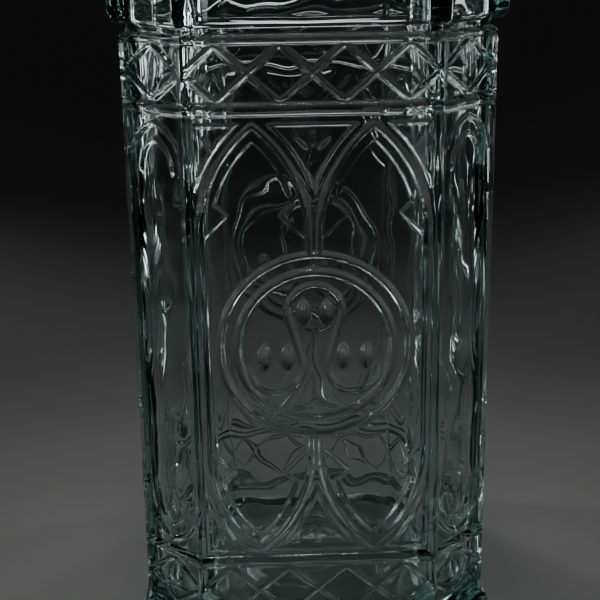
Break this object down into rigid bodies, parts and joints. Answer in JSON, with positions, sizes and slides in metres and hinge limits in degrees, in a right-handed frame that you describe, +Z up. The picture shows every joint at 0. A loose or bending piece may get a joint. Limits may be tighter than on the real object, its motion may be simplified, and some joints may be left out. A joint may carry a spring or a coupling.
{
  "type": "antique glass bottle with stopper",
  "caption": "Square, cut-cornered Gothic bottle of pale aqua moulded glass, with lattice bands, paired lancet windows, ring medallions, a shell cork and a faceted glass stopper.",
  "frame": {"origin": "middle of the flat foot that the bottle stands on", "axes": "+Z up through the neck, the axis of the bottle; -Y is the front face and +X is to its right"},
  "size_m": [0.0906, 0.0906, 0.2716],
  "materials": {
    "aqua_glass": "gloss",
    "lip_glass": "gloss",
    "stopper_glass": "gloss",
    "cork": "matte"
  },
  "bodies": {
    "bottle": {"bottle_body": "aqua_glass", "applied_lip": "lip_glass"},
    "cork": {"shell_cork": "cork"},
    "stopper": {"glass_stopper": "stopper_glass"}
  },
  "joints": [
    {"name": "cork_slide", "type": "slide", "parent": "bottle", "child": "cork", "axis": [0, 0, 1], "range_m": [0, 0.04]},
    {"name": "stopper_slide", "type": "slide", "parent": "cork", "child": "stopper", "axis": [0, 0, 1], "range_m": [0, 0.03]}
  ]
}
